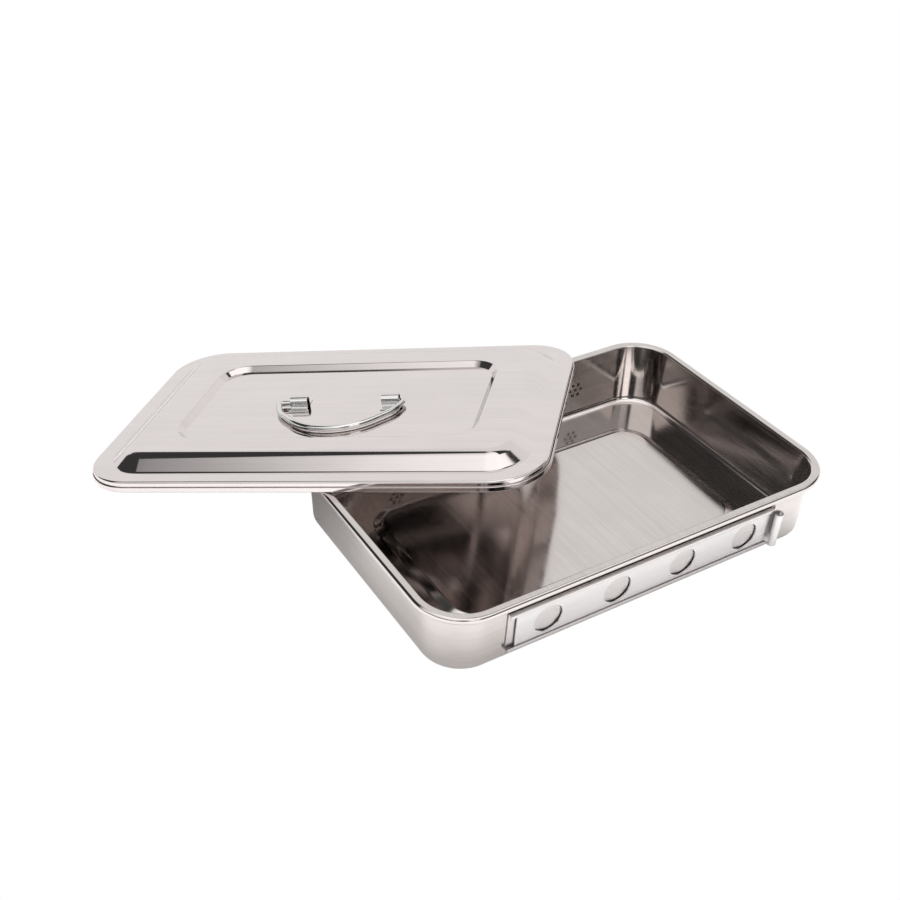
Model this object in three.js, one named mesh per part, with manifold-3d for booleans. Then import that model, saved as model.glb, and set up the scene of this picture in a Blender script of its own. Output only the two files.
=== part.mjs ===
// Stainless steel instrument tray with a lift-off cover and a sliding steam vent in each long wall.
// Millimetres, +Z up. The tray stands on Z = 0 with its long walls along X and its near wall at -Y.
// The cover is off and lies askew: one corner on the table, its skirt across the rim in two places.
import * as THREE from "three";
import { mergeVertices } from "three/addons/utils/BufferGeometryUtils.js";
import Module from "manifold-3d";

const wasm = await Module();
wasm.setup();

// Fineness of curves, and clearances
const quarterSteps = 8;
const bendStep = Math.PI / 7;
const bendChord = 0.1;
const wireSides = 12;
const holeSides = 8;
const windowSides = 32;
const weldTolerance = 1e-4;
const overrun = 2;
const clearance = 0.3;

// Pan: overall sizes are over the curled rim
const pan = {
  length: 300,
  width: 200,
  height: 47.5,
  cornerRadius: 33,
  sheet: 0.8,
  wallInsetTop: 5.8,
  wallInsetFoot: 7.8,
  footBend: 4.6,
};

// Curled rim: a flat band, a lip turned down and a curl turned back under
const rim = {
  innerBend: 1.2,
  outerBend: 1.6,
  depth: 4.6,
  curlBend: 1.4,
  curlGap: 1,
};

// Raised panel pressed into the floor
const floorPanel = {
  length: 213,
  width: 113,
  cornerRadius: 15,
  raise: 2,
  slopeRun: 5.5,
  bend: 4,
};

// Vents: a lipped channel on the wall, a slide with windows in it and clusters of holes behind
const vent = {
  height: 22.3,
  windows: 4,
  pitch: 50,
  windowDiameter: 20,
  travel: 16.2,
  holesInRing: 6,
  ringRadius: 4.6,
  holeDiameter: 2.6,
  farShift: -10,
};

const guide = {
  sheet: 0.8,
  height: 30,
  lip: 2.6,
  bend: 0.7,
  leftMargin: 17.7,
  lipRightMargin: 20.8,
  backRightMargin: 24,
};

const slide = {
  sheet: 0.8,
  sidePlay: 0.4,
  leftMargin: 12.5,
  curlDiameter: 6.4,
  curlOpening: 0.6,
};

// Cover: the flange's top face is its own Z = 0
const cover = {
  sheet: 0.7,
  overlap: 2.4,
  skirt: 7.1,
  edgeBend: 0.9,
  hem: 3.2,
  hemGap: 0.25,
};

const plateau = {
  height: 8,
  flange: 13,
  slopeRun: 11.8,
  cornerRadius: 14,
  topBend: 5,
  footBend: 4,
};

const sunkenPanel = {
  length: 206,
  width: 115,
  cornerRadius: 20,
  depth: 3.5,
  slopeRun: 4,
  bend: 2.5,
};

// Bail handle and the two strap ears that hold it
const handle = {
  shiftX: 4.6,
  shiftY: -3.9,
  turn: THREE.MathUtils.degToRad(1.6),
  slipX: -2.65,
  slipY: -0.7,
};

const bail = {
  wire: 4,
  halfSpan: 43.3,
  reach: 38.9,
  bendRadius: 2.4,
  legAngle: THREE.MathUtils.degToRad(74),
  kneeDepth: 14,
  kneeRadius: 25,
  bowAngle: THREE.MathUtils.degToRad(46.5),
  endLength: 11,
  axisHeight: 2.9,
  droop: THREE.MathUtils.degToRad(0.5),
};

const ear = {
  strap: 0.7,
  length: 11.8,
  spread: 75.8,
  height: 7.2,
  halfFootprint: 9.5,
  footBend: 1.2,
  sidePlay: 0.9,
  gap: 0.1,
};

// Where the cover is laid, in plan
const laid = {
  x: -92,
  y: 127.5,
  turn: THREE.MathUtils.degToRad(-41.37),
  gap: 0.15,
  samples: 4000,
  passes: 12,
};

const steel = (color, roughness) =>
  new THREE.MeshStandardMaterial({ color, roughness, metalness: 1 });

// Path helpers

// Points of a line with bends: corners are [across, up, bend radius], bends become arcs.
function bentLine(corners) {
  const line = [];
  const add = (point) => {
    if (!line.length || line.at(-1).distanceTo(point) > weldTolerance) line.push(point);
  };
  corners.forEach(([across, up, radius], index) => {
    const corner = new THREE.Vector2(across, up);
    const before = corners[index - 1];
    const after = corners[index + 1];
    if (!radius || !before || !after) {
      add(corner);
      return;
    }
    const back = new THREE.Vector2(before[0], before[1]).sub(corner).normalize();
    const ahead = new THREE.Vector2(after[0], after[1]).sub(corner).normalize();
    const half = Math.acos(THREE.MathUtils.clamp(back.dot(ahead), -1, 1)) / 2;
    const centre = back.clone().add(ahead).normalize().multiplyScalar(radius / Math.sin(half)).add(corner);
    const start = back.clone().multiplyScalar(radius / Math.tan(half)).add(corner).sub(centre);
    const sweep = (Math.PI - 2 * half) * Math.sign(back.cross(ahead)) * -1;
    const fineStep = 2 * Math.acos(1 - Math.min(bendChord / radius, 1));
    const steps = Math.ceil(Math.abs(sweep) / Math.min(bendStep, fineStep));
    for (let step = 0; step <= steps; step++) {
      const turned = start.clone().rotateAround(new THREE.Vector2(), (sweep * step) / steps);
      add(turned.add(centre));
    }
  });
  return line;
}

// Closed outline of a sheet of even thickness about its middle line, out on one face and back on the other.
function sheetOutline(middle, thickness) {
  const face = (side) =>
    middle.map((point, index) => {
      const before = middle[Math.max(index - 1, 0)];
      const after = middle[Math.min(index + 1, middle.length - 1)];
      const into = point.clone().sub(before).normalize();
      const onward = after.clone().sub(point).normalize();
      const along = into.clone().add(onward).normalize();
      const reference = into.lengthSq() > 0 ? into : onward;
      const mitre = Math.max(along.dot(reference), Math.SQRT1_2);
      return new THREE.Vector2(-along.y, along.x)
        .multiplyScalar((side * thickness) / 2 / mitre)
        .add(point);
    });
  return [...face(-1), ...face(1).reverse()];
}

// Solid helpers

// Rounded rectangle from the centres of its corners, counter-clockwise seen from above.
function roundedOutline(centreX, centreY, radius) {
  const outline = new THREE.Path();
  const quarters = [[1, -1], [1, 1], [-1, 1], [-1, -1]];
  quarters.forEach(([signX, signY], quarter) => {
    const start = ((quarter - 1) * Math.PI) / 2;
    outline.absarc(signX * centreX, signY * centreY, radius, start, start + Math.PI / 2);
  });
  outline.closePath();
  return outline;
}

const roundedRing = (centreX, centreY, radius, height) =>
  roundedOutline(centreX, centreY, radius)
    .curves.filter((curve) => curve.isEllipseCurve)
    .flatMap((corner) => corner.getPoints(quarterSteps))
    .map(({ x, y }) => new THREE.Vector3(x, y, height));

// Closed skin through rings of equal counts, with a fan over the first ring and the last.
function skin(rings) {
  const count = rings[0].length;
  const points = rings.flat();
  const faces = [];
  for (let r = 0; r < rings.length - 1; r++) {
    for (let i = 0; i < count; i++) {
      const a = r * count + i;
      const b = r * count + ((i + 1) % count);
      faces.push(a, b, b + count, a, b + count, a + count);
    }
  }
  [rings[0], rings.at(-1)].forEach((ring, end) => {
    const middle = ring.reduce((sum, point) => sum.add(point), new THREE.Vector3()).divideScalar(count);
    const hub = points.push(middle) - 1;
    const base = end * (rings.length - 1) * count;
    for (let i = 0; i < count; i++) {
      const pair = [base + i, base + ((i + 1) % count)];
      faces.push(hub, ...(end ? pair : pair.reverse()));
    }
  });
  const geometry = new THREE.BufferGeometry().setFromPoints(points);
  geometry.setIndex(faces);
  return geometry;
}

// Pressed shell from its cross-section [half width, height]; a zone's corner centres serve the points
// from its half width outwards.
function pressedShell(outline, zones) {
  const rings = outline.map((point) => {
    const zone = zones.find(({ from }) => point.x >= from);
    return roundedRing(zone.centreX, zone.centreY, point.x - zone.centreY, point.y);
  });
  return skin(rings);
}

// A zone of concentric rounded rectangles, from its overall sizes at one of them.
const zoneOf = (length, width, radius, from) => ({
  centreX: length / 2 - radius,
  centreY: width / 2 - radius,
  from,
});

// Round bar along points of a flat path.
function wireAlong(path, diameter) {
  const up = new THREE.Vector3(0, 0, 1);
  const rings = path.map((point, index) => {
    const before = path[Math.max(index - 1, 0)];
    const after = path[Math.min(index + 1, path.length - 1)];
    const along = after.clone().sub(before).normalize();
    const across = new THREE.Vector3().crossVectors(up, new THREE.Vector3(along.x, along.y, 0));
    return Array.from({ length: wireSides }, (_, side) => {
      const angle = (side / wireSides) * Math.PI * 2;
      return new THREE.Vector3(point.x, point.y, 0)
        .addScaledVector(across, (diameter / 2) * Math.cos(angle))
        .addScaledVector(up, (diameter / 2) * Math.sin(angle));
    });
  });
  return skin(rings);
}

// Flat outline [y, z] drawn out along X between two places.
function drawnAlongX(outline, from, to) {
  const shape = new THREE.Shape(outline);
  const geometry = new THREE.ExtrudeGeometry(shape, { depth: to - from, bevelEnabled: false });
  const axes = new THREE.Matrix4().makeBasis(
    new THREE.Vector3(0, 1, 0),
    new THREE.Vector3(0, 0, 1),
    new THREE.Vector3(1, 0, 0),
  );
  return geometry.applyMatrix4(axes).translate(from, 0, 0);
}

function solidOf(geometry) {
  const bare = geometry.clone();
  bare.deleteAttribute("normal");
  bare.deleteAttribute("uv");
  const merged = mergeVertices(bare, weldTolerance);
  return new wasm.Manifold(
    new wasm.Mesh({
      numProp: 3,
      vertProperties: merged.attributes.position.array,
      triVerts: new Uint32Array(merged.index.array),
    }),
  );
}

function carved(geometry, tools) {
  const left = tools.reduce((body, tool) => body.subtract(solidOf(tool)), solidOf(geometry));
  const mesh = left.getMesh();
  const result = new THREE.BufferGeometry();
  result.setAttribute("position", new THREE.BufferAttribute(mesh.vertProperties, 3));
  result.setIndex(new THREE.BufferAttribute(mesh.triVerts, 1));
  return result;
}

function named(name, geometry, material) {
  const flat = geometry.index ? geometry.toNonIndexed() : geometry;
  flat.computeVertexNormals();
  const mesh = new THREE.Mesh(flat, material);
  mesh.name = name;
  return mesh;
}

// Pan

const wallRise = pan.height - pan.sheet;
const wallDraft = Math.atan((pan.wallInsetFoot - pan.wallInsetTop) / wallRise);
const trayWindowPlaces = Array.from(
  { length: vent.windows },
  (_, index) => (index - (vent.windows - 1) / 2) * vent.pitch,
);

// Middle of the wall sheet, as half the pan's width, at a height.
const wallMiddleAt = (height) =>
  pan.width / 2 - pan.wallInsetFoot + (height - pan.sheet / 2) * Math.tan(wallDraft);

function panGeometry() {
  const half = pan.sheet / 2;
  const top = pan.height - half;
  const panelEdge = floorPanel.width / 2;
  const panelFoot = panelEdge + floorPanel.slopeRun;
  const lipMiddle = pan.width / 2 - half;
  const lipBottom = pan.height - rim.depth + half;
  const wallTop = pan.width / 2 - pan.wallInsetTop;
  const middle = bentLine([
    [panelEdge - floorPanel.cornerRadius / 2, half + floorPanel.raise, 0],
    [panelEdge, half + floorPanel.raise, floorPanel.bend],
    [panelFoot, half, floorPanel.bend],
    [pan.width / 2 - pan.wallInsetFoot, half, pan.footBend],
    [wallTop, top, rim.innerBend],
    [lipMiddle, top, rim.outerBend],
    [lipMiddle, lipBottom, rim.curlBend],
    [wallTop + half + rim.curlGap, lipBottom, 0],
  ]);
  const wallZone = zoneOf(pan.length, pan.width, pan.cornerRadius, panelFoot + floorPanel.bend);
  const panelZone = zoneOf(floorPanel.length, floorPanel.width, floorPanel.cornerRadius, 0);
  const shell = pressedShell(sheetOutline(middle, pan.sheet), [wallZone, panelZone]);
  return carved(shell, [-1, 1].flatMap((side) => clusterDrills(side)));
}

// Drills for a wall's clusters, across the wall and square to it: side is -1 near and 1 far.
function clusterDrills(side) {
  const shift = side > 0 ? vent.farShift : 0;
  const places = holePlaces();
  return places.map(([x, up]) => {
    const drill = new THREE.CylinderGeometry(
      vent.holeDiameter / 2,
      vent.holeDiameter / 2,
      pan.sheet + 2 * overrun,
      holeSides,
    );
    return drill
      .translate(x + shift, 0, up)
      .rotateX(-side * wallDraft)
      .translate(0, side * wallMiddleAt(vent.height), vent.height);
  });
}

// Places [x, up] of all holes behind one slide, from the middle of its windows when it is shut.
function holePlaces() {
  const flower = [[0, 0]];
  for (let hole = 0; hole < vent.holesInRing; hole++) {
    const angle = (hole / vent.holesInRing) * Math.PI * 2;
    flower.push([vent.ringRadius * Math.cos(angle), vent.ringRadius * Math.sin(angle)]);
  }
  return trayWindowPlaces.flatMap((place) =>
    flower.map(([x, up]) => [place + vent.travel + x, up]),
  );
}

// Vent channel and slide, in the wall's own frame: X along the wall, +Y out of it, Z up it

const outerWindow = ((vent.windows - 1) * vent.pitch) / 2;
const guideBack = clearance + guide.sheet / 2;
const slideBack = clearance + guide.sheet + clearance + slide.sheet / 2;
const guideFront = slideBack + slide.sheet / 2 + clearance + guide.sheet / 2;
const guideEnds = {
  left: -outerWindow - vent.windowDiameter / 2 - guide.leftMargin,
  lipRight: outerWindow + guide.lipRightMargin,
  backRight: outerWindow + guide.backRightMargin,
};
const slideHeight = guide.height - 2 * guide.sheet - 2 * slide.sidePlay;

function guideGeometry() {
  const halfHeight = (guide.height - guide.sheet) / 2;
  const lipEnd = guide.height / 2 - guide.lip;
  const middle = bentLine([
    [guideFront, -lipEnd, 0],
    [guideFront, -halfHeight, guide.bend],
    [guideBack, -halfHeight, guide.bend],
    [guideBack, halfHeight, guide.bend],
    [guideFront, halfHeight, guide.bend],
    [guideFront, lipEnd, 0],
  ]);
  const channel = drawnAlongX(sheetOutline(middle, guide.sheet), guideEnds.left, guideEnds.backRight);
  const frontOfBack = guideBack + guide.sheet / 2 + clearance / 2;
  const cutDepth = guideFront + guide.sheet + overrun - frontOfBack;
  const cutLength = guideEnds.backRight - guideEnds.lipRight + overrun;
  const lipCut = new THREE.BoxGeometry(cutLength, cutDepth, guide.height + 2 * overrun).translate(
    guideEnds.lipRight + cutLength / 2,
    frontOfBack + cutDepth / 2,
    0,
  );
  const drills = holePlaces().map(([x, up]) =>
    new THREE.CylinderGeometry(
      vent.holeDiameter / 2,
      vent.holeDiameter / 2,
      guide.sheet + 2 * overrun,
      holeSides,
    ).translate(x, guideBack, up),
  );
  return carved(channel, [lipCut, ...drills]);
}

function slideGeometry() {
  const curl = (slide.curlDiameter - slide.sheet) / 2;
  const left = -outerWindow - vent.windowDiameter / 2 - slide.leftMargin;
  const curlLeft = guideEnds.lipRight + clearance + slide.sheet / 2;
  const curlRight = curlLeft + 2 * curl;
  const middle = bentLine([
    [left, slideBack, 0],
    [curlRight, slideBack, curl],
    [curlRight, slideBack + 2 * curl, curl],
    [curlLeft, slideBack + 2 * curl, curl],
    [curlLeft, slideBack + slide.sheet + slide.curlOpening, 0],
  ]);
  const shape = new THREE.Shape(sheetOutline(middle, slide.sheet));
  const plate = new THREE.ExtrudeGeometry(shape, { depth: slideHeight, bevelEnabled: false });
  plate.translate(0, 0, -slideHeight / 2);
  const windows = trayWindowPlaces.map((x) =>
    new THREE.CylinderGeometry(
      vent.windowDiameter / 2,
      vent.windowDiameter / 2,
      slide.sheet + overrun,
      windowSides,
    ).translate(x, slideBack, 0),
  );
  return carved(plate, windows);
}

function ventOn(sideName, side) {
  const wall = new THREE.Group();
  wall.rotation.x = -wallDraft;
  wall.position.set(
    side > 0 ? vent.farShift : 0,
    wallMiddleAt(vent.height) + pan.sheet / 2 / Math.cos(wallDraft),
    vent.height,
  );
  wall.add(named(`${sideName}_vent_guide`, guideGeometry(), steel(0xc9c6c3, 0.35)));
  wall.add(named(`${sideName}_vent_slide`, slideGeometry(), steel(0xd2cfcc, 0.3)));
  const mirrored = new THREE.Group();
  mirrored.scale.y = side;
  mirrored.add(wall);
  return mirrored;
}

// Cover

const coverLength = pan.length + 2 * cover.overlap;
const coverWidth = pan.width + 2 * cover.overlap;
const coverRadius = pan.cornerRadius + cover.overlap;
const hemMiddle = coverWidth / 2 - cover.sheet / 2;
const skirtMiddle = hemMiddle - cover.sheet - cover.hemGap;
const panelTop = plateau.height - sunkenPanel.depth;

function coverGeometry() {
  const half = cover.sheet / 2;
  const plateauEdge = coverWidth / 2 - plateau.flange - plateau.slopeRun;
  const panelEdge = sunkenPanel.width / 2;
  const hemBend = (hemMiddle - skirtMiddle) / 2;
  const middle = bentLine([
    [panelEdge - sunkenPanel.cornerRadius / 2 - sunkenPanel.slopeRun, panelTop - half, 0],
    [panelEdge - sunkenPanel.slopeRun, panelTop - half, sunkenPanel.bend],
    [panelEdge, plateau.height - half, sunkenPanel.bend],
    [plateauEdge, plateau.height - half, plateau.topBend],
    [coverWidth / 2 - plateau.flange, -half, plateau.footBend],
    [skirtMiddle, -half, cover.edgeBend],
    [skirtMiddle, half - cover.skirt, hemBend],
    [hemMiddle, half - cover.skirt, hemBend],
    [hemMiddle, cover.hem - cover.skirt, 0],
  ]);
  const edgeZone = zoneOf(coverLength, coverWidth, coverRadius, skirtMiddle - cover.edgeBend - half);
  const plateauInset = 2 * (plateau.flange + plateau.slopeRun);
  const plateauZone = zoneOf(
    coverLength - plateauInset,
    coverWidth - plateauInset,
    plateau.cornerRadius,
    panelEdge + sunkenPanel.bend,
  );
  const panelZone = zoneOf(sunkenPanel.length, sunkenPanel.width, sunkenPanel.cornerRadius, 0);
  return pressedShell(sheetOutline(middle, cover.sheet), [edgeZone, plateauZone, panelZone]);
}

function earGeometry() {
  const middleRadius = bail.wire / 2 + ear.sidePlay + ear.strap / 2;
  const footMiddle = ear.gap + ear.strap / 2;
  const bowTop = ear.height + ear.gap - ear.strap / 2;
  const middle = bentLine([
    [-ear.halfFootprint, footMiddle, 0],
    [-middleRadius, footMiddle, ear.footBend],
    [-middleRadius, bowTop, middleRadius],
    [middleRadius, bowTop, middleRadius],
    [middleRadius, footMiddle, ear.footBend],
    [ear.halfFootprint, footMiddle, 0],
  ]);
  return drawnAlongX(sheetOutline(middle, ear.strap), 0, ear.length);
}

// The bail folded forward: ends in the ears, legs that lean in, and a bow at the front.
function bailGeometry() {
  const halfTurn = (Math.PI - bail.legAngle) / 2;
  const cornerX = bail.halfSpan - bail.bendRadius + bail.bendRadius * Math.tan(halfTurn);
  const kneeX = cornerX - bail.kneeDepth / Math.tan(bail.legAngle);
  const apex = bail.kneeDepth + kneeX * Math.tan(bail.bowAngle);
  const bowRadius = (apex - bail.reach) / (1 / Math.cos(bail.bowAngle) - 1);
  const endX = bail.halfSpan - bail.bendRadius - bail.endLength;
  const path = bentLine([
    [-endX, 0, 0],
    [-cornerX, 0, bail.bendRadius],
    [-kneeX, -bail.kneeDepth, bail.kneeRadius],
    [0, -apex, bowRadius],
    [kneeX, -bail.kneeDepth, bail.kneeRadius],
    [cornerX, 0, bail.bendRadius],
    [endX, 0, 0],
  ]);
  return wireAlong(path, bail.wire);
}

function coverGroup() {
  const group = new THREE.Group();
  group.add(named("cover", coverGeometry(), steel(0xdad7d5, 0.22)));
  const onPanel = new THREE.Group();
  onPanel.position.set(handle.shiftX, handle.shiftY, panelTop);
  onPanel.rotation.z = handle.turn;
  const leftEar = named("cover_left_ear", earGeometry(), steel(0xd8d5d2, 0.2));
  leftEar.position.x = -ear.spread / 2;
  const rightEar = named("cover_right_ear", earGeometry(), steel(0xd8d5d2, 0.2));
  rightEar.position.x = ear.spread / 2 - ear.length;
  const bailHandle = named("bail_handle", bailGeometry(), steel(0xdedbd8, 0.12));
  bailHandle.position.set(handle.slipX, handle.slipY, bail.axisHeight);
  bailHandle.rotation.x = bail.droop;
  onPanel.add(leftEar, rightEar, bailHandle);
  group.add(onPanel);
  return group;
}

// How the cover settles where it is laid: the curled edge of its skirt, a bar of this radius, lies on the
// rim where it crosses it and on the table at its lowest point. Each pass refines the plane.
function settledPose() {
  const edgeRadius = (hemMiddle - skirtMiddle + cover.sheet) / 2;
  const cornerX = coverLength / 2 - coverRadius;
  const cornerY = coverWidth / 2 - coverRadius;
  const edge = roundedOutline(cornerX, cornerY, coverRadius - edgeRadius).getSpacedPoints(laid.samples);
  const centre = new THREE.Vector3(laid.x, laid.y, 0);
  const normal = centre.clone().setZ(pan.length).normalize();
  const along = new THREE.Vector3();
  const across = new THREE.Vector3();
  const face = () => {
    const heading = new THREE.Vector3(Math.cos(laid.turn), Math.sin(laid.turn), 0);
    along.copy(heading).setZ(-heading.dot(normal) / normal.z).normalize();
    across.crossVectors(normal, along);
  };
  for (let pass = 0; pass < laid.passes; pass++) {
    face();
    const line = edge.map(({ x, y }) =>
      centre.clone().addScaledVector(along, x).addScaledVector(across, y),
    );
    const contacts = line
      .filter((point, index) => offTray(point) !== offTray(line[(index + 1) % line.length]))
      .map((point) => point.setZ(pan.height + laid.gap + edgeRadius));
    const lowest = line.reduce((low, point) => (point.z < low.z ? point : low));
    lowest.setZ(laid.gap + edgeRadius);
    const [first, second] = contacts.map((point) => point.clone().sub(lowest));
    normal.crossVectors(first, second).normalize();
    normal.multiplyScalar(Math.sign(normal.z));
    const offset = lowest.clone().sub(centre).setZ(0);
    centre.z = lowest.z + normal.dot(offset) / normal.z;
  }
  face();
  return new THREE.Matrix4()
    .makeBasis(along, across, normal)
    .setPosition(centre.addScaledVector(normal, cover.skirt - edgeRadius));
}

// Whether a point lies outside the flat top of the rim, seen from above.
function offTray({ x, y }) {
  const beyondX = Math.max(Math.abs(x) - pan.length / 2 + pan.cornerRadius, 0);
  const beyondY = Math.max(Math.abs(y) - pan.width / 2 + pan.cornerRadius, 0);
  return Math.hypot(beyondX, beyondY) > pan.cornerRadius - rim.outerBend - pan.sheet / 2;
}

const layout = new THREE.Group();
layout.add(named("tray_pan", panGeometry(), steel(0xbfbab6, 0.3)));
layout.add(ventOn("near", -1), ventOn("far", 1));
const laidCover = coverGroup();
laidCover.applyMatrix4(settledPose());
layout.add(laidCover);

// The frame's origin is the middle of the whole footprint, on the table.
const footprint = new THREE.Box3().setFromObject(layout, true);
const middle = footprint.getCenter(new THREE.Vector3());
layout.position.set(-middle.x, -middle.y, -footprint.min.z);

const group = new THREE.Group();
group.name = "instrument_tray";
group.add(layout);

export default group;
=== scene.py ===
import math

import bpy
from mathutils import Matrix, Vector
from mathutils.geometry import delaunay_2d_cdt


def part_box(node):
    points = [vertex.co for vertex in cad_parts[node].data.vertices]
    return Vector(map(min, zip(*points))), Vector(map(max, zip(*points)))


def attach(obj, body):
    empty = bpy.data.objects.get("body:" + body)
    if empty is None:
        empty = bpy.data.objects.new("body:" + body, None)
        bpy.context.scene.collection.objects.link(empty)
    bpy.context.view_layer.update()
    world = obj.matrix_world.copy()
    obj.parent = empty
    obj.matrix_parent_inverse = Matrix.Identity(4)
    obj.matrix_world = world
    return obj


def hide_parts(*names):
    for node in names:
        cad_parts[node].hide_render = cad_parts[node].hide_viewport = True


# Stainless steel instrument tray with its cover laid askew on it, and a sliding vent in each long wall.

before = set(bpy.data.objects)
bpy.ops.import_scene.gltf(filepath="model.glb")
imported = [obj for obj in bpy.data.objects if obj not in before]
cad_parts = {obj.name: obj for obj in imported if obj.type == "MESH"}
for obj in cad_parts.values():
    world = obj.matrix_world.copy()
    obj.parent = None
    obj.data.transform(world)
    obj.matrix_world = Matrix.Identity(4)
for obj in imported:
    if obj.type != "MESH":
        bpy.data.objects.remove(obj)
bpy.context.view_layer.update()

MM = 0.001

# Sizes in millimetres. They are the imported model's, apart from some that are drawn closer to the photograph:
# the guide's back and bend, the slide's lip_play, curl, opening and curl_drop, the plateau's top and the
# sunken panel's bend. The bail's chamfer and end_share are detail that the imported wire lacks, and the guide's
# fold is how far its folded strips reach into its back.
PAN = dict(
    length=300, width=200, height=47.5, radius=33, sheet=0.8, inset_top=5.8, inset_foot=7.8, foot_bend=4.6,
)
RIM = dict(inner=1.2, outer=1.6, depth=4.6, curl=1.4, gap=1.0)
FLOOR = dict(length=213, width=113, radius=15, rise=2, run=5.5, bend=4)
VENT = dict(
    height=22.3, windows=4, pitch=50, window=20, travel=16.2, ring=6, ring_radius=4.6, hole=2.6,
    far_shift=-10,
)
GUIDE = dict(
    sheet=0.8, back=0.5, height=30, lip=2.6, bend=0.88, fold=3, left=17.7, lip_right=20.8, back_right=24,
)
SLIDE = dict(sheet=0.8, play=0.4, lip_play=0.16, left=12.5, curl=6.26, opening=2.2, curl_drop=2.3)
COVER = dict(sheet=0.7, overlap=2.4, skirt=7.1, edge=0.9, hem=3.2, hem_gap=0.25)
PLATEAU = dict(height=8, flange=13, run=11.8, radius=14, top=13, foot=4)
SUNKEN = dict(length=206, width=115, radius=20, depth=3.5, run=4, bend=1.5)
HANDLE = dict(x=4.6, y=-3.9, turn=math.radians(1.6), slip_x=-2.65, slip_y=-0.7)
BAIL = dict(
    wire=4, half_span=43.3, reach=38.9, bend=2.4, leg=math.radians(74), knee_depth=14, knee=25,
    bow=math.radians(46.5), end=11, chamfer=0.36, end_share=0.82, axis=2.9, droop=math.radians(0.5),
)
EAR = dict(strap=0.7, length=11.8, spread=75.8, height=7.2, half_foot=9.5, foot_bend=1.2, play=0.9, gap=0.1)
GAP = 0.3

# The pierced strip that is let into each long wall: half its height, and its margin past the last holes.
STRIP = dict(half_height=9, margin=4)

# Fineness of the meshes, and the distances that count as none.
CAP_STEPS = 6
PAN_CORNER_STEPS = 22
COVER_CORNER_STEPS = 24
HOLE_SIDES = 20
WINDOW_SIDES = 72
WIRE_SIDES = 28
BEND_STEP = math.radians(7)
GUIDE_BEND_STEP = math.radians(12)
ROLL_BEND_STEP = math.radians(8)
COVER_BEND_STEP = math.radians(5)
BAIL_BEND_STEP = math.radians(4)
POINT_DIGITS = 4
SAME_POINT = 1e-4
SAME_PLACE = 1e-6


def frame_of(x, y, z, origin):
    """Matrix with the given axes and origin."""
    matrix = Matrix((x, y, z)).transposed().to_4x4()
    matrix.translation = origin
    return matrix


# Where the tray lies: its middle, from its node.
low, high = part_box("tray_pan")
TRAY = Matrix.Translation(((low[0] + high[0]) / 2, (low[1] + high[1]) / 2, 0))

# Where the cover lies: its own axes, and in metres its middle, level with its flange's top face.
COVER_ALONG = Vector((0.7402495, -0.6519292, 0.1643743)).normalized()
COVER_ACROSS = Vector((0.6706119, 0.7334271, -0.1111952)).normalized()
COVER_MIDDLE = Vector((-0.0378164, 0.0356478, 0.0406685))
COVER_FRAME = frame_of(COVER_ALONG, COVER_ACROSS, COVER_ALONG.cross(COVER_ACROSS).normalized(), COVER_MIDDLE)


# Profiles

class Mark:
    """A point of a profile, with the direction that the line runs in there."""

    def __init__(self, point, way):
        self.point = Vector(point)
        self.way = Vector(way).normalized()

    def normal(self):
        return Vector((-self.way.y, self.way.x))


def bent_line(corners, step=BEND_STEP):
    """Line through corners (across, up, bend radius), with round bends and exact directions."""
    points = [Vector(corner[:2]) for corner in corners]
    line = [Mark(points[0], points[1] - points[0])]
    for before, here, after, corner in zip(points, points[1:], points[2:], corners[1:]):
        radius = corner[2]
        back = (before - here).normalized()
        ahead = (after - here).normalized()
        half = math.acos(max(-1, min(1, back.dot(ahead)))) / 2
        centre = here + (back + ahead).normalized() * (radius / math.sin(half))
        start = here + back * (radius / math.tan(half)) - centre
        turn = back.x * ahead.y - back.y * ahead.x
        sweep = -(math.pi - 2 * half) * (1 if turn > 0 else -1)
        count = max(2, math.ceil(abs(sweep) / step))
        for k in range(count + 1):
            angle = sweep * k / count
            c, s = math.cos(angle), math.sin(angle)
            spoke = Vector((start.x * c - start.y * s, start.x * s + start.y * c))
            way = Vector((-spoke.y, spoke.x)) * (1 if sweep > 0 else -1)
            point = spoke + centre
            if (point - line[-1].point).length > SAME_POINT:
                line.append(Mark(point, way))
    line.append(Mark(points[-1], points[-1] - points[-2]))
    return line


def sheet_rings(middle, thick, round_ends=(False, False)):
    """Closed outline of a sheet about its middle line, as four runs of (point, normal)."""
    def side(sign):
        run = []
        for mark in middle:
            normal = mark.normal() * sign
            run.append((mark.point + normal * thick / 2, normal))
        return run

    def end(mark, sign, rounded):
        across = mark.normal() * -sign
        if not rounded:
            normal = mark.way * sign
            return [(mark.point + across * thick / 2, normal), (mark.point - across * thick / 2, normal)]
        run = []
        for k in range(CAP_STEPS + 1):
            angle = math.pi * k / CAP_STEPS
            normal = across * math.cos(angle) + mark.way * sign * math.sin(angle)
            run.append((mark.point + normal * thick / 2, normal))
        return run

    return [side(-1), end(middle[-1], 1, round_ends[1]), side(1)[::-1], end(middle[0], -1, round_ends[0])]


# Meshes with exact normals

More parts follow.
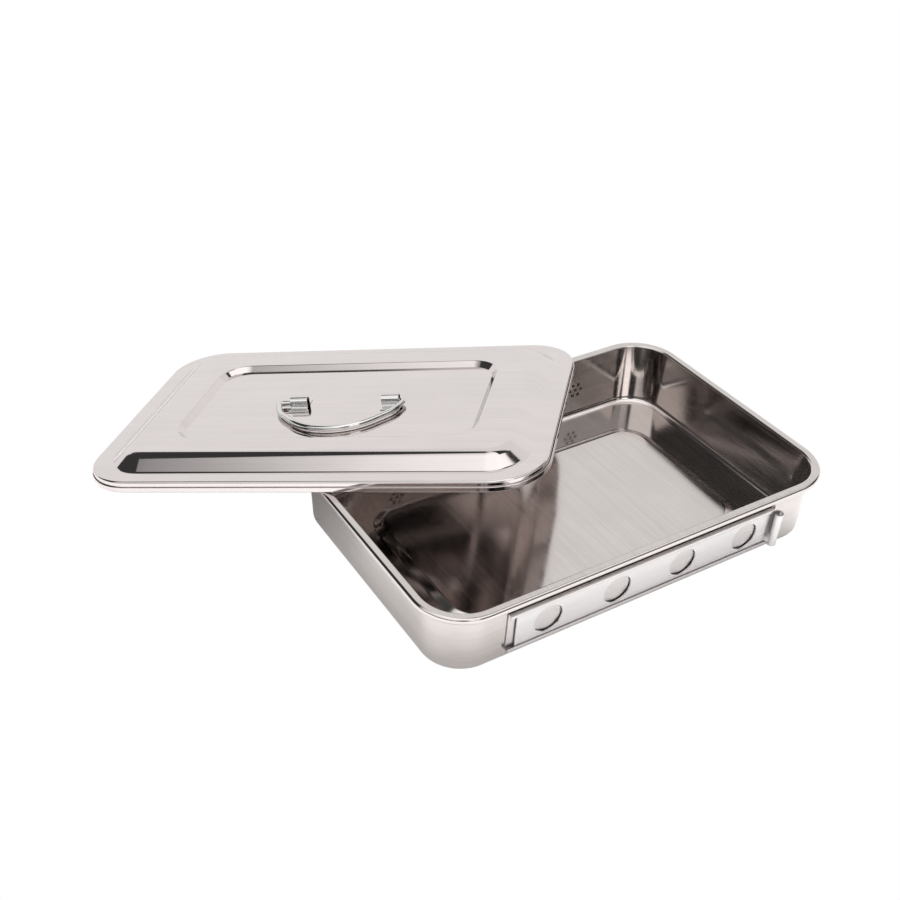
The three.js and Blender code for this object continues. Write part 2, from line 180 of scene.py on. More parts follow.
class Build:
    """Gathers faces with a normal at each corner, and makes one smooth mesh of them."""

    def __init__(self, lean=None):
        self.lean = lean
        self.points = []
        self.faces = []
        self.normals = []
        self.index = {}

    def start_apart(self):
        """What follows shares no points with what is there, so both keep their own normals."""
        self.index = {}

    def point_number(self, point):
        key = (round(point[0], POINT_DIGITS), round(point[1], POINT_DIGITS), round(point[2], POINT_DIGITS))
        if key not in self.index:
            self.index[key] = len(self.points)
            self.points.append(Vector(key))
        return self.index[key]

    def face(self, points, normals):
        """Adds a face, turned the way its normals point. One with fewer than three points is left out."""
        if self.lean:
            normals = [self.lean(Vector(point), normal) for point, normal in zip(points, normals)]
        numbers, kept = [], []
        for point, normal in zip(points, normals):
            number = self.point_number(point)
            if number not in numbers:
                numbers.append(number)
                kept.append(normal)
        if len(numbers) < 3:
            return
        area = Vector((0, 0, 0))
        zero = self.points[numbers[0]]
        for one, two in zip(numbers[1:], numbers[2:]):
            area += (self.points[one] - zero).cross(self.points[two] - zero)
        if area.dot(sum(kept, Vector((0, 0, 0)))) < 0:
            numbers.reverse()
            kept.reverse()
        self.faces.append(numbers)
        self.normals.extend(tuple(normal) for normal in kept)

    def object(self, name, matrix, material, grain):
        """Makes the mesh in place, with a UV map in metres along the grain, from grain(point, normal)."""
        mesh = bpy.data.meshes.new(name)
        mesh.from_pydata([tuple(matrix @ (point * MM)) for point in self.points], [], self.faces)
        mesh.polygons.foreach_set("use_smooth", [True] * len(mesh.polygons))
        mesh.update()
        turn = matrix.to_3x3()
        turned = [tuple((turn @ Vector(normal)).normalized()) for normal in self.normals]
        mesh.normals_split_custom_set(turned)
        layer = mesh.uv_layers.new(name="grain")
        corner = 0
        for face in self.faces:
            normals = [Vector(normal) for normal in self.normals[corner:corner + len(face)]]
            mean = sum(normals, Vector((0, 0, 0))) / len(face)
            for number in face:
                layer.data[corner].uv = grain(self.points[number] * MM, mean)
                corner += 1
        obj = bpy.data.objects.new(name, mesh)
        bpy.context.scene.collection.objects.link(obj)
        mesh.materials.append(material)
        return obj


def flat_grain(lengthwise):
    """Grain in one direction over flat faces, and level round the walls."""
    level = 0.55

    def uv(point, normal):
        if abs(normal.z) > level:
            return (point.x, point.y) if lengthwise else (point.y, point.x)
        return (point.x, point.z) if abs(normal.y) > abs(normal.x) else (point.y, point.z)
    return uv


def strap_grain(point, normal):
    """Grain along a piece's own X, whichever way it faces."""
    return (point.x, point.y)


def zone_of(length, width, radius, start):
    """A stretch of a pressed shell's cross-section, from start outwards, with the middles of its corners."""
    return dict(x=length / 2 - radius, y=width / 2 - radius, start=start)


def ring_marks(zone, point, normal, steps, splits):
    """Ring of (point, normal) round a pressed shell, from one point of its cross-section.

    The splits are the X places of extra points on its near and far sides.
    """
    radius = point.x - zone["y"]
    ring = []
    for corner, (side_x, side_y) in enumerate(((1, -1), (1, 1), (-1, 1), (-1, -1))):
        for k in range(steps + 1):
            angle = (corner - 1) * math.pi / 2 + math.pi / 2 * k / steps
            c, s = math.cos(angle), math.sin(angle)
            ring.append((Vector((side_x * zone["x"] + radius * c, side_y * zone["y"] + radius * s, point.y)),
                         Vector((normal.x * c, normal.x * s, normal.y))))
        last, last_normal = ring[-1]
        for x in {1: sorted(splits[1], reverse=True), 3: sorted(splits[0])}.get(corner, ()):
            x = max(-zone["x"], min(zone["x"], x))
            ring.append((Vector((x, last.y, last.z)), last_normal.copy()))
    return ring


def pressed(build, runs, zones, steps, splits=((), ()), skip=None):
    """Sweeps a cross-section's runs round a pressed shell, leaving out faces where skip(points) holds."""
    for run in runs:
        rings = []
        for point, normal in run:
            zone = next(z for z in zones if point.x >= z["start"] - SAME_PLACE)
            rings.append(ring_marks(zone, point, normal, steps, splits))
        for a, b in zip(rings, rings[1:]):
            for i in range(len(a)):
                j = (i + 1) % len(a)
                quad = [a[i], a[j], b[j], b[i]]
                if skip and skip([point for point, _ in quad]):
                    continue
                build.face([point for point, _ in quad], [normal for _, normal in quad])


def close_middle(build, runs, zone, steps, splits=((), ())):
    """Closes the flat middle of a pressed shell, below and above."""
    for (point, _), up in ((runs[0][0], -1), (runs[2][-1], 1)):
        ring = [p for p, _ in ring_marks(zone, point, Vector((0, up)), steps, splits)]
        hub = sum(ring, Vector((0, 0, 0))) / len(ring)
        for i in range(len(ring)):
            build.face([hub, ring[i], ring[(i + 1) % len(ring)]], [Vector((0, 0, up))] * 3)


def inside(loop, x, y):
    """Whether a point lies inside a closed loop."""
    odd = False
    for a, b in zip(loop, list(loop[1:]) + [loop[0]]):
        if (a[1] > y) != (b[1] > y) and x < a[0] + (y - a[1]) * (b[0] - a[0]) / (b[1] - a[1]):
            odd = not odd
    return odd


def filled(outer, holes=()):
    """Triangles between a closed outline and its holes, as the points and their triples."""
    points, edges = [], []
    for loop in [outer] + list(holes):
        base = len(points)
        points.extend(Vector((p[0], p[1])) for p in loop)
        edges.extend((base + k, base + (k + 1) % len(loop)) for k in range(len(loop)))
    # These cover the holes too, so their middles are tested.
    triangles_in_outline = 2
    points, _, triangles, _, _, _ = delaunay_2d_cdt(points, edges, [], triangles_in_outline, SAME_PLACE)
    kept = []
    for triangle in triangles:
        x = sum(points[i].x for i in triangle) / 3
        y = sum(points[i].y for i in triangle) / 3
        if inside(outer, x, y) and not any(inside(hole, x, y) for hole in holes):
            kept.append(triangle)
    return points, kept


def circle(x, y, radius, count):
    angles = [2 * math.pi * k / count for k in range(count)]
    return [(x + radius * math.cos(angle), y + radius * math.sin(angle)) for angle in angles]


def pierced(build, outer, holes, place, normal, thick, edges=True):
    """A flat plate with round holes. Place(x, y, d) gives its points, with d from 0 on its face to thick."""
    zero = place(0, 0, 0)
    points, triangles = filled(outer, holes)
    for depth, facing in ((0, normal), (thick, -normal)):
        for triangle in triangles:
            build.face([place(points[i].x, points[i].y, depth) for i in triangle], [facing] * 3)

    def wall(a, b, normal_a, normal_b):
        build.face([place(*a, 0), place(*b, 0), place(*b, thick), place(*a, thick)],
                   [normal_a, normal_b, normal_b, normal_a])

    for loop in holes:
        x = sum(p[0] for p in loop) / len(loop)
        y = sum(p[1] for p in loop) / len(loop)
        inward = [(place(x - p[0], y - p[1], 0) - zero).normalized() for p in loop]
        for k in range(len(loop)):
            j = (k + 1) % len(loop)
            wall(loop[k], loop[j], inward[k], inward[j])
    if edges:
        for a, b in zip(outer, outer[1:] + outer[:1]):
            outward = (place(b[1] - a[1], a[0] - b[0], 0) - zero).normalized()
            wall(a, b, outward, outward)


def drawn(build, runs, place, start, stop):
    """Outline runs (point, normal) drawn out between two places, with flat ends."""
    zero = place(0, 0, 0)
    loop = []
    for run in runs:
        for (a, normal_a), (b, normal_b) in zip(run, run[1:]):
            turned_a = place(0, normal_a.x, normal_a.y) - zero
            turned_b = place(0, normal_b.x, normal_b.y) - zero
            quad = [(start, a), (stop, a), (stop, b), (start, b)]
            build.face([place(x, p.x, p.y) for x, p in quad], [turned_a, turned_a, turned_b, turned_b])
        for point, _ in run[:-1]:
            if not loop or (point - loop[-1]).length > SAME_POINT:
                loop.append(point)
    if (loop[0] - loop[-1]).length < SAME_POINT:
        loop.pop()
    points, triangles = filled(loop)
    for x, sign in ((start, -1), (stop, 1)):
        normal = (place(sign, 0, 0) - zero).normalized()
        for triangle in triangles:
            build.face([place(x, points[i].x, points[i].y) for i in triangle], [normal] * 3)


# Node trees

class Tree:
    """A node tree, with calls that add nodes. A value is a number, a vector or another node's output."""

    def __init__(self, tree):
        self.nodes = tree.nodes
        self.links = tree.links

    def put(self, socket, value):
        if isinstance(value, bpy.types.NodeSocket):
            self.links.new(value, socket)
        else:
            socket.default_value = value

    def node(self, kind, inputs, **settings):
        """Adds a node. The inputs are its sockets by name or number, and the settings its own options."""
        node = self.nodes.new("ShaderNode" + kind)
        for name, value in settings.items():
            setattr(node, name, value)
        for name, value in inputs.items():
            self.put(node.inputs[name], value)
        return node

    def math(self, kind, a, b):
        return self.node("Math", {0: a, 1: b}, operation=kind).outputs["Value"]

    def dot(self, a, b):
        return self.node("VectorMath", {0: a, 1: b}, operation="DOT_PRODUCT").outputs["Value"]

    def span(self, value, start, stop, first, last, shape="SMOOTHSTEP"):
        """Turns start to stop into first to last."""
        inputs = {"Value": value, "From Min": start, "From Max": stop, "To Min": first, "To Max": last}
        return self.node("MapRange", inputs, interpolation_type=shape).outputs["Result"]

    def bump(self, height, distance):
        return self.node("Bump", {"Height": height, "Distance": distance, "Strength": 1.0})


def new_material(name):
    material = bpy.data.materials.new(name)
    material.use_nodes = True
    tree = Tree(material.node_tree)
    return material, tree, tree.nodes["Principled BSDF"]


# Steel

# Noise scales: the grain's along it and across it, its bands' shares of them, the smudges' and the swell's.
GRAIN = (14.0, 900.0)
BAND_SHARES = (0.25, 0.16)
SMUDGE_SCALE = 30.0
SWELL_SCALE = 11.0
# How much of a steel's spread its bands and smudges take, and how much of its blotch.
BAND_SPREAD_SHARE = 0.4
SMUDGE_SPREAD_SHARES = (0.5, 0.7)
SLOW_BLOTCH_SHARE = 0.6
# Noise lies mostly between these two.
NOISE_LOW, NOISE_HIGH = 0.3, 0.7


def steel(name, color, rough, spread, groove, blotch=0.03, wave=0.0):
    """Stainless steel: fine grain along the UV map's first axis, slow unevenness and faint smudges.

    Rough and spread are its roughness and how far the grain changes it, blotch is how far the colour changes,
    and groove and wave are the heights in metres of the grain and of the slow swell of a pressed sheet.
    """
    material, tree, bsdf = new_material(name)
    bsdf.inputs["Metallic"].default_value = 1.0
    uv = tree.node("UVMap", {}, uv_map="grain").outputs["UV"]
    place = tree.node("TexCoord", {}).outputs["Object"]

    def grain_noise(scale, **inputs):
        stretched = tree.node("Mapping", {"Vector": uv, "Scale": (*scale, 1)}).outputs["Vector"]
        noise = tree.node("TexNoise", {"Vector": stretched, "Scale": 1.0, **inputs}, noise_dimensions="2D")
        return noise.outputs["Fac"]

    def place_noise(scale, detail):
        return tree.node("TexNoise", {"Vector": place, "Scale": scale, "Detail": detail}).outputs["Fac"]

    def change(noise, first, last):
        return tree.span(noise, NOISE_LOW, NOISE_HIGH, first, last, "LINEAR")

    fine = grain_noise(GRAIN, Detail=5.0, Roughness=0.65)
    bands = grain_noise([scale * share for scale, share in zip(GRAIN, BAND_SHARES)], Detail=2.0)
    smudges = place_noise(SMUDGE_SCALE, 4.0)

    # Roughness follows the grain, its bands and the smudges.
    band_spread = spread * BAND_SPREAD_SHARE
    smoother, rougher = [spread * share for share in SMUDGE_SPREAD_SHARES]
    slow = tree.math("ADD", change(bands, -band_spread, band_spread), change(smudges, -smoother, rougher))
    tree.put(bsdf.inputs["Roughness"], tree.math("ADD", change(fine, rough - spread, rough + spread), slow))

    # Colour varies a little the same way.
    faint = blotch * SLOW_BLOTCH_SHARE
    slow = tree.math("MULTIPLY", change(bands, 1 - faint, 1 + faint), change(smudges, 1 - faint, 1 + faint))
    tint = tree.math("MULTIPLY", change(fine, 1 - blotch, 1 + blotch), slow)
    shade = tree.node("VectorMath", {0: color, "Scale": tint}, operation="SCALE")
    tree.put(bsdf.inputs["Base Color"], shade.outputs["Vector"])

    bump = tree.bump(fine, groove)
    if wave:
        tree.put(bump.inputs["Normal"], tree.bump(place_noise(SWELL_SCALE, 1.0), wave).outputs["Normal"])
    tree.put(bsdf.inputs["Normal"], bump.outputs["Normal"])
    return material


pan_steel = steel("pan_steel", (0.64, 0.595, 0.575), 0.12, 0.03, 0.0000015, blotch=0.045, wave=0.00007)
cover_steel = steel("cover_steel", (0.675, 0.625, 0.615), 0.07, 0.02, 0.0000008, wave=0.00003)
# The guide's steel is painted a little darker and pinker than the slide's: painted shade for its back, which
# lies behind the slide and shows through the windows.
shaded_guide_steel = steel("shaded_guide_steel", (0.69, 0.655, 0.645), 0.3, 0.04, 0.0000008)
slide_steel = steel("slide_steel", (0.75, 0.73, 0.725), 0.32, 0.04, 0.0000008)
wire_steel = steel("wire_steel", (0.68, 0.67, 0.66), 0.06, 0.03, 0.000001)
ear_steel = steel("ear_steel", (0.72, 0.71, 0.7), 0.16, 0.03, 0.0000008)


# Tray pan. A side is -1 for the near long wall and 1 for the far one.

draft = math.atan((PAN["inset_foot"] - PAN["inset_top"]) / (PAN["height"] - PAN["sheet"]))
window_places = [(i - (VENT["windows"] - 1) / 2) * VENT["pitch"] for i in range(VENT["windows"])]
far_shift = {-1: 0, 1: VENT["far_shift"]}


def hole_places():
    """Places of a vent's holes along the wall and up from the vent's middle."""
    flower = [(0, 0)]
    for k in range(VENT["ring"]):
        angle = 2 * math.pi * k / VENT["ring"]
        flower.append((VENT["ring_radius"] * math.cos(angle), VENT["ring_radius"] * math.sin(angle)))
    return [(window + VENT["travel"] + x, up) for window in window_places for x, up in flower]


def wall_middle_at(height):
    """How far out the middle of a long wall's sheet lies at a height."""
    return PAN["width"] / 2 - PAN["inset_foot"] + (height - PAN["sheet"] / 2) * math.tan(draft)


def wall_axes(side):
    """Directions square out of a long wall and up it."""
    c, s = math.cos(draft), math.sin(draft)
    return Vector((0, side * c, -s)), Vector((0, side * s, c))


def make_pan():
    half = PAN["sheet"] / 2
    top = PAN["height"] - half
    edge = FLOOR["width"] / 2
    foot = edge + FLOOR["run"]
    lip = PAN["width"] / 2 - half
    lip_low = PAN["height"] - RIM["depth"] + half
    wall_top = PAN["width"] / 2 - PAN["inset_top"]
    middle = bent_line([
        (edge - FLOOR["radius"] / 2, half + FLOOR["rise"], 0),
        (edge, half + FLOOR["rise"], FLOOR["bend"]),
        (foot, half, FLOOR["bend"]),
        (PAN["width"] / 2 - PAN["inset_foot"], half, PAN["foot_bend"]),
        (wall_top, top, RIM["inner"]),
        (lip, top, RIM["outer"]),
        (lip, lip_low, RIM["curl"]),
        (wall_top + half + RIM["gap"], lip_low, 0),
    ])

    # Two more marks on the flat of the wall, to let the pierced strips in.
    strip_low, strip_high = VENT["height"] - STRIP["half_height"], VENT["height"] + STRIP["half_height"]
    marks = []
    for mark in middle:
        if marks and marks[-1].point.y < strip_low < mark.point.y and marks[-1].point.x > foot:
            for height in (strip_low, strip_high):
                marks.append(Mark((wall_middle_at(height), height), (math.sin(draft), math.cos(draft))))
        marks.append(mark)
    runs = sheet_rings(marks, PAN["sheet"], (False, True))
    wall_zone = zone_of(PAN["length"], PAN["width"], PAN["radius"], foot + FLOOR["bend"])
    panel_zone = zone_of(FLOOR["length"], FLOOR["width"], FLOOR["radius"], 0)
    level, dish = 0.999, 0.085

    def dished(point, normal):
        """The raised panel's normals lean as if it sagged a little, so its far part faces the near wall."""
        if normal.z < level or point.z < FLOOR["rise"] or point.y < 0 or point.y > edge:
            return normal
        return (normal + Vector((0, -dish * point.y / edge, 0))).normalized()

    ends = {}
    for side in (-1, 1):
        places = [x + far_shift[side] for x, _ in hole_places()]
        ends[side] = (min(places) - STRIP["margin"], max(places) + STRIP["margin"])
    height_slack, end_slack = 0.3, 0.01

    def in_strip(quad):
        """Whether a face of the plain wall is the one that a pierced strip replaces."""
        xs, ys, zs = zip(*quad)
        if min(zs) < strip_low - height_slack or max(zs) > strip_high + height_slack:
            return False
        start, stop = ends[1 if ys[0] > 0 else -1]
        tall = max(zs) - min(zs) >= STRIP["half_height"]
        return tall and abs(min(xs) - start) < end_slack and abs(max(xs) - stop) < end_slack

    build = Build(dished)
    splits = (ends[-1], ends[1])
    pressed(build, runs, [wall_zone, panel_zone], PAN_CORNER_STEPS, splits, in_strip)
    close_middle(build, runs, panel_zone, PAN_CORNER_STEPS, splits)
    for side in (-1, 1):
        start, stop = ends[side]
        out, rise = wall_axes(side)
        base = Vector((0, side * wall_middle_at(VENT["height"]), VENT["height"]))
        strip_half = STRIP["half_height"] / math.cos(draft)

        def on_wall(x, y, depth):
            return base + Vector((x, 0, 0)) + rise * y + out * (half - depth)

        outer = [(start, -strip_half), (stop, -strip_half), (stop, strip_half), (start, strip_half)]
        holes = [circle(x + far_shift[side], up, VENT["hole"] / 2, HOLE_SIDES) for x, up in hole_places()]
        pierced(build, outer, holes, on_wall, out, PAN["sheet"], edges=False)
    return build.object("tray_pan_steel", TRAY, pan_steel, flat_grain(False))


# Vents

outer_window = (VENT["windows"] - 1) * VENT["pitch"] / 2
guide_back = GAP + GUIDE["sheet"] / 2
slide_seat = GAP + GUIDE["sheet"] + GAP + SLIDE["sheet"] / 2
guide_front = slide_seat + SLIDE["sheet"] / 2 + GAP + GUIDE["sheet"] / 2
slide_middle = slide_seat + (GAP - SLIDE["lip_play"])
guide_left = -outer_window - VENT["window"] / 2 - GUIDE["left"]
lip_right = outer_window + GUIDE["lip_right"]
back_right = outer_window + GUIDE["back_right"]
slide_height = GUIDE["height"] - 2 * GUIDE["sheet"] - 2 * SLIDE["play"]


def vent_place(side):
    """Places a vent's own X along the wall, Y out of it and Z up it."""
    out, rise = wall_axes(side)
    wall_face = wall_middle_at(VENT["height"]) + PAN["sheet"] / 2 / math.cos(draft)
    base = Vector((far_shift[side], side * wall_face, VENT["height"]))
    return lambda x, y, z: base + Vector((x, 0, 0)) + out * y + rise * z


def make_guide(name, side):
    place = vent_place(side)
    high = (GUIDE["height"] - GUIDE["sheet"]) / 2
    back_high = high - GUIDE["fold"]
    lip_end = GUIDE["height"] / 2 - GUIDE["lip"]
    half = GUIDE["sheet"] / 2
    build = Build()
    for sign in (-1, 1):
        folded = bent_line([
            (guide_back, sign * back_high, 0),
            (guide_back, sign * high, GUIDE["bend"]),
            (guide_front, sign * high, GUIDE["bend"]),
            (guide_front, sign * lip_end, 0),
        ], GUIDE_BEND_STEP)
        # The first end joins the pierced back, so its cap is left out.
        drawn(build, sheet_rings(folded, GUIDE["sheet"], (False, True))[:3], place, guide_left, lip_right)
        plain = bent_line([(guide_back, sign * back_high, 0), (guide_back, sign * (high + half), 0)])
        drawn(build, sheet_rings(plain, GUIDE["sheet"])[:3], place, lip_right, back_right)

    def on_back(x, y, depth):
        return place(x, guide_back - half + GUIDE["back"] - depth, y)

    outer = [
        (guide_left, -back_high), (back_right, -back_high), (back_right, back_high), (guide_left, back_high),
    ]
    holes = [circle(x, up, VENT["hole"] / 2, HOLE_SIDES) for x, up in hole_places()]
    pierced(build, outer, holes, on_back, place(0, 1, 0) - place(0, 0, 0), GUIDE["back"])
    return build.object(name, TRAY, shaded_guide_steel, flat_grain(True))


def make_slide(name, side):
    place = vent_place(side)
    half = SLIDE["sheet"] / 2
    high = slide_height / 2
    curl = (SLIDE["curl"] - SLIDE["sheet"]) / 2
    left = -outer_window - VENT["window"] / 2 - SLIDE["left"]
    curl_left = lip_right + GAP + half
    curl_right = curl_left + 2 * curl
    curl_top = high - SLIDE["curl_drop"]
    flat_end = curl_right - curl
    sunk = 0.01

    def on_plate(x, y, depth):
        return place(x, slide_middle + half - depth, y)

    outer = [
        (left, -high), (flat_end, -high), (flat_end, curl_top), (lip_right, curl_top), (lip_right, high),
        (left, high),
    ]
    holes = [circle(x, 0, VENT["window"] / 2, WINDOW_SIDES) for x in window_places]
    build = Build()
    pierced(build, outer, holes, on_plate, place(0, 1, 0) - place(0, 0, 0), SLIDE["sheet"])
    roll = bent_line([
        (flat_end - sunk, slide_middle, 0),
        (curl_right, slide_middle, curl),
        (curl_right, slide_middle + 2 * curl, curl),
        (curl_left, slide_middle + 2 * curl, curl),
        (curl_left, slide_middle + SLIDE["sheet"] + SLIDE["opening"], 0),
    ], ROLL_BEND_STEP)
    build.start_apart()
    rings = sheet_rings(roll, SLIDE["sheet"], (False, True))
    drawn(build, rings, lambda z, x, y: place(x, y, z), -high, curl_top)
    return build.object(name, TRAY, slide_steel, flat_grain(True))


# Cover

cover_length = PAN["length"] + 2 * COVER["overlap"]
cover_width = PAN["width"] + 2 * COVER["overlap"]
cover_radius = PAN["radius"] + COVER["overlap"]
hem_middle = cover_width / 2 - COVER["sheet"] / 2
skirt_middle = hem_middle - COVER["sheet"] - COVER["hem_gap"]
panel_top = PLATEAU["height"] - SUNKEN["depth"]


def make_cover():
    half = COVER["sheet"] / 2
    plateau_edge = cover_width / 2 - PLATEAU["flange"] - PLATEAU["run"]
    panel_edge = SUNKEN["width"] / 2
    hem_bend = (hem_middle - skirt_middle) / 2
    middle = bent_line([
        (panel_edge - SUNKEN["radius"] / 2 - SUNKEN["run"], panel_top - half, 0),
        (panel_edge - SUNKEN["run"], panel_top - half, SUNKEN["bend"]),
        (panel_edge, PLATEAU["height"] - half, SUNKEN["bend"]),
        (plateau_edge, PLATEAU["height"] - half, PLATEAU["top"]),
        (cover_width / 2 - PLATEAU["flange"], -half, PLATEAU["foot"]),
        (skirt_middle, -half, COVER["edge"]),
        (skirt_middle, half - COVER["skirt"], hem_bend),
        (hem_middle, half - COVER["skirt"], hem_bend),
        (hem_middle, COVER["hem"] - COVER["skirt"], 0),
    ], COVER_BEND_STEP)
    runs = sheet_rings(middle, COVER["sheet"], (False, True))
    inset = 2 * (PLATEAU["flange"] + PLATEAU["run"])
    edge_zone = zone_of(cover_length, cover_width, cover_radius, skirt_middle - COVER["edge"] - half)
    plateau_zone = zone_of(
        cover_length - inset, cover_width - inset, PLATEAU["radius"], panel_edge + SUNKEN["bend"],
    )
    panel_zone = zone_of(SUNKEN["length"], SUNKEN["width"], SUNKEN["radius"], 0)
    build = Build()
    pressed(build, runs, [edge_zone, plateau_zone, panel_zone], COVER_CORNER_STEPS)
    close_middle(build, runs, panel_zone, COVER_CORNER_STEPS)
    return build.object("cover_steel_sheet", COVER_FRAME, cover_steel, flat_grain(True))


# Handle

handle_place = Vector((HANDLE["x"], HANDLE["y"], panel_top)) * MM
HANDLE_FRAME = COVER_FRAME @ Matrix.Translation(handle_place) @ Matrix.Rotation(HANDLE["turn"], 4, "Z")


def make_ear(name, x):
    radius = BAIL["wire"] / 2 + EAR["play"] + EAR["strap"] / 2
    foot = EAR["gap"] + EAR["strap"] / 2
    top = EAR["height"] + EAR["gap"] - EAR["strap"] / 2
    middle = bent_line([
        (-EAR["half_foot"], foot, 0),
        (-radius, foot, EAR["foot_bend"]),
        (-radius, top, radius),
        (radius, top, radius),
        (radius, foot, EAR["foot_bend"]),
        (EAR["half_foot"], foot, 0),
    ])
    build = Build()
    rings = sheet_rings(middle, EAR["strap"], (True, True))
    drawn(build, rings, lambda along, across, up: Vector((along, across, up)), x, x + EAR["length"])
    return build.object(name, HANDLE_FRAME, ear_steel, strap_grain)


def make_bail():
    half_turn = (math.pi - BAIL["leg"]) / 2
    corner_x = BAIL["half_span"] - BAIL["bend"] + BAIL["bend"] * math.tan(half_turn)
    knee_x = corner_x - BAIL["knee_depth"] / math.tan(BAIL["leg"])
    apex = BAIL["knee_depth"] + knee_x * math.tan(BAIL["bow"])
    bow_radius = (apex - BAIL["reach"]) / (1 / math.cos(BAIL["bow"]) - 1)
    end_x = BAIL["half_span"] - BAIL["bend"] - BAIL["end"]
    line = bent_line([
        (-end_x, 0, 0),
        (-corner_x, 0, BAIL["bend"]),
        (-knee_x, -BAIL["knee_depth"], BAIL["knee"]),
        (0, -apex, bow_radius),
        (knee_x, -BAIL["knee_depth"], BAIL["knee"]),
        (corner_x, 0, BAIL["bend"]),
        (end_x, 0, 0),
    ], BAIL_BEND_STEP)

    # Each end is chamfered: a smaller ring at the end itself, and the full one a little way in.
    stops = [[mark.point.to_3d(), mark.way.to_3d(), 1.0] for mark in line]
    first, last = line[0], line[-1]
    stops[0][0] = stops[0][0] + stops[0][1] * BAIL["chamfer"]
    stops[-1][0] = stops[-1][0] - stops[-1][1] * BAIL["chamfer"]
    stops.insert(0, [first.point.to_3d(), first.way.to_3d(), BAIL["end_share"]])
    stops.append([last.point.to_3d(), last.way.to_3d(), BAIL["end_share"]])

    up = Vector((0, 0, 1))
    rings = []
    for point, way, share in stops:
        across = up.cross(way)
        angles = [2 * math.pi * k / WIRE_SIDES for k in range(WIRE_SIDES)]
        normals = [across * math.cos(angle) + up * math.sin(angle) for angle in angles]
        rings.append([(point + normal * (BAIL["wire"] / 2) * share, normal) for normal in normals])
    build = Build()
    for a, b in zip(rings, rings[1:]):
        for k in range(WIRE_SIDES):
            j = (k + 1) % WIRE_SIDES
            quad = [a[k], a[j], b[j], b[k]]
            build.face([point for point, _ in quad], [normal for _, normal in quad])
    for ring, way in ((rings[0], -stops[0][1]), (rings[-1], stops[-1][1])):
        build.face([point for point, _ in ring], [way] * WIRE_SIDES)
    slip = Vector((HANDLE["slip_x"], HANDLE["slip_y"], BAIL["axis"])) * MM
    place = HANDLE_FRAME @ Matrix.Translation(slip) @ Matrix.Rotation(BAIL["droop"], 4, "X")
    return build.object("bail_wire", place, wire_steel, strap_grain)


def settle(obj, body, node):
    """Puts a finished piece on its body, in place of its node."""
    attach(obj, body)
    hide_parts(node)


left_ear_start = -EAR["spread"] / 2
right_ear_start = EAR["spread"] / 2 - EAR["length"]

settle(make_pan(), "tray", "tray_pan")
settle(make_guide("near_guide_channel", -1), "tray", "near_vent_guide")
settle(make_guide("far_guide_channel", 1), "tray", "far_vent_guide")
settle(make_slide("near_slide_plate", -1), "near_slide", "near_vent_slide")
settle(make_slide("far_slide_plate", 1), "far_slide", "far_vent_slide")
settle(make_cover(), "cover", "cover")
settle(make_ear("left_ear_strap", left_ear_start), "cover", "cover_left_ear")
settle(make_ear("right_ear_strap", right_ear_start), "cover", "cover_right_ear")
settle(make_bail(), "bail", "bail_handle")


# Floor

def make_floor():
    """A plain floor, white to the camera. In the steel's reflections it shows painted shade: paler near the
    camera and darker beyond.
    """
    half_size = 6.0
    away_from_camera = (0.45, 0.9, 0)
    pale_until, painted_shade_from = -0.25, 0.35
    pale, dark = 0.84, 0.42
    fill = 0.12
    corners = [(-half_size, -half_size, 0), (half_size, -half_size, 0), (half_size, half_size, 0),
               (-half_size, half_size, 0)]
    mesh = bpy.data.meshes.new("floor")
    mesh.from_pydata(corners, [], [(0, 1, 2, 3)])
    floor = bpy.data.objects.new("floor", mesh)
    bpy.context.scene.collection.objects.link(floor)
    material, tree, bsdf = new_material("floor")
    away = tree.dot(tree.node("TexCoord", {}).outputs["Object"], away_from_camera)
    # Painted shade: the floor's colour darkens away from the camera, for light that falls off beyond the tray.
    tree.put(bsdf.inputs["Base Color"], tree.span(away, pale_until, painted_shade_from, pale, dark))
    bsdf.inputs["Roughness"].default_value = 0.9
    bsdf.inputs["Specular IOR Level"].default_value = 0.0
    bsdf.inputs["Emission Color"].default_value = (1, 1, 1, 1)
    bsdf.inputs["Emission Strength"].default_value = fill
    glow = tree.node("Emission", {"Color": (1, 1, 1, 1), "Strength": 1.0}).outputs["Emission"]
    camera_ray = tree.node("LightPath", {}).outputs["Is Camera Ray"]
    mix = tree.node("MixShader", {"Fac": camera_ray, 1: bsdf.outputs["BSDF"], 2: glow})
    tree.put(tree.nodes["Material Output"].inputs["Surface"], mix.outputs["Shader"])
    mesh.materials.append(material)


make_floor()


# Light

# A broad lamp overhead. Metal shows the studio in its place, so it is hidden from reflections.
lamp = bpy.data.objects.new("overhead", bpy.data.lights.new("overhead", "SUN"))
lamp.data.energy = 2.8
lamp.data.angle = math.radians(46)
lamp.rotation_euler = (math.radians(-20), math.radians(16), 0)
lamp.visible_glossy = False
bpy.context.scene.collection.objects.link(lamp)

# The studio round the tray: a white backdrop low down, dim above it, and areas of light with soft edges.
world = bpy.data.worlds.new("studio")
bpy.context.scene.world = world
world.use_nodes = True
studio = Tree(world.node_tree)
direction = studio.node("TexCoord", {}).outputs["Generated"]
height = studio.dot(direction, (0, 0, 1))


def patch(strength, soft, *edges):
    """Light where a x + b y + c z < 0 for every edge (a, b, c), with soft edges."""
    lit = None
    for edge in edges:
        part = studio.span(studio.dot(direction, Vector(edge).normalized()), -soft, soft, 1, 0)
        lit = part if lit is None else studio.math("MULTIPLY", lit, part)
    return studio.math("MULTIPLY", lit, strength)


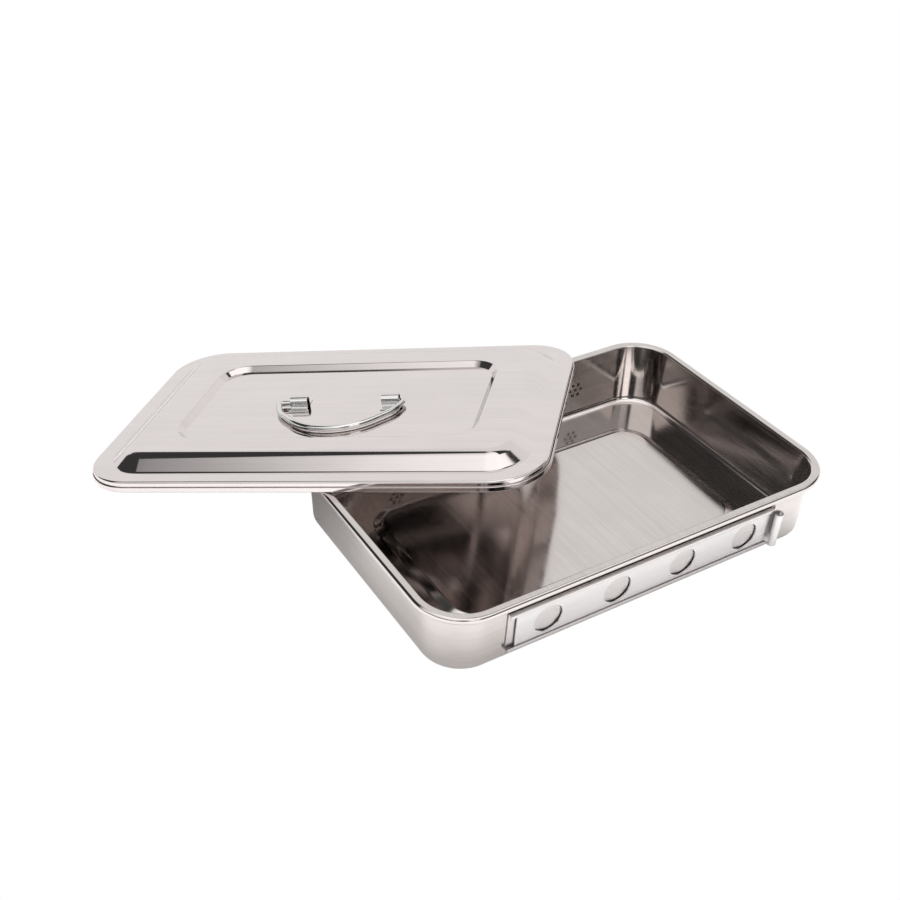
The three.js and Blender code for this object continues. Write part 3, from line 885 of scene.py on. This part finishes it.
def soft_box(azimuth, elevation, half_wide, half_high, strength, soft):
    """A rectangle of light, with its angles in degrees. Azimuth 0 is +Y, 90 is +X."""
    turn, tilt = math.radians(azimuth), math.radians(elevation)
    middle = Vector((math.sin(turn) * math.cos(tilt), math.cos(turn) * math.cos(tilt), math.sin(tilt)))
    across = Vector((math.cos(turn), -math.sin(turn), 0))
    upward = across.cross(middle)
    wide = middle * math.tan(math.radians(half_wide))
    tall = middle * math.tan(math.radians(half_high))
    return patch(strength, soft, across - wide, -across - wide, upward - tall, -upward - tall)


crisp = 0.012
lit_areas = [
    # A backdrop beyond the tray, up to a level edge.
    patch(studio.span(height, 0.42, 0.45, 1.02, 0), crisp, (-0.652, -0.473, 0.589), (0.2, -1, 0)),
    # A taller backdrop beyond the tray to the right.
    patch(0.95, 0.02, (-1, 0, 0.17), (0, -1, 0.15), (-1, -1, 0.85)),
    # Two panels overhead that brighten upwards: one on the left, and one on the near side.
    patch(
        studio.span(height, 0.79, 0.97, 0.4, 1.45), crisp,
        (-0.2, 1, -0.6), (1, 0, -0.22), (0, -1, -0.9), (-1, 0, -1.2),
    ),
    patch(
        studio.span(height, 0.6, 0.88, 0.5, 1.5), crisp,
        (0, 1, -0.03), (-1, 0, -0.5), (1, 0, -1.3), (0, -1, -1.5),
    ),
    # A small bright box in front of the tray, and a wide one high on its left.
    soft_box(-173, 28, 9, 8, 2.3, 0.03),
    soft_box(-105, 44, 32, 16, 1.25, 0.06),
]
light = studio.span(height, 0.1, 0.2, 1.0, 0.05)
for area in lit_areas:
    light = studio.math("MAXIMUM", light, area)
studio.put(studio.nodes["Background"].inputs["Color"], (1, 1, 1, 1))
studio.put(studio.nodes["Background"].inputs["Strength"], light)


# Camera

# Its axes, its place from the tray's middle in metres, and its focal length in pixels of the square picture.
CAMERA_RIGHT = Vector((0.85430132, -0.51886492, 0.030797))
CAMERA_DOWN = Vector((-0.28178588, -0.51211419, -0.81137893))
CAMERA_AHEAD = Vector((0.43676764, 0.68448393, -0.58370864))
CAMERA_PLACE = Vector((-0.4052313, -0.5013817, 0.5119951))
FOCAL_PIXELS = 1230.22
PICTURE_PIXELS = 900
SENSOR_WIDTH = 36

scene = bpy.context.scene
scene.view_settings.view_transform = "Standard"
lens = bpy.data.cameras.new("camera")
lens.sensor_width = SENSOR_WIDTH
lens.lens = SENSOR_WIDTH * FOCAL_PIXELS / PICTURE_PIXELS
lens.clip_start = 0.01
camera = bpy.data.objects.new("camera", lens)
scene.collection.objects.link(camera)
camera.matrix_world = frame_of(CAMERA_RIGHT, -CAMERA_DOWN, -CAMERA_AHEAD, CAMERA_PLACE + TRAY.translation)
scene.camera = camera
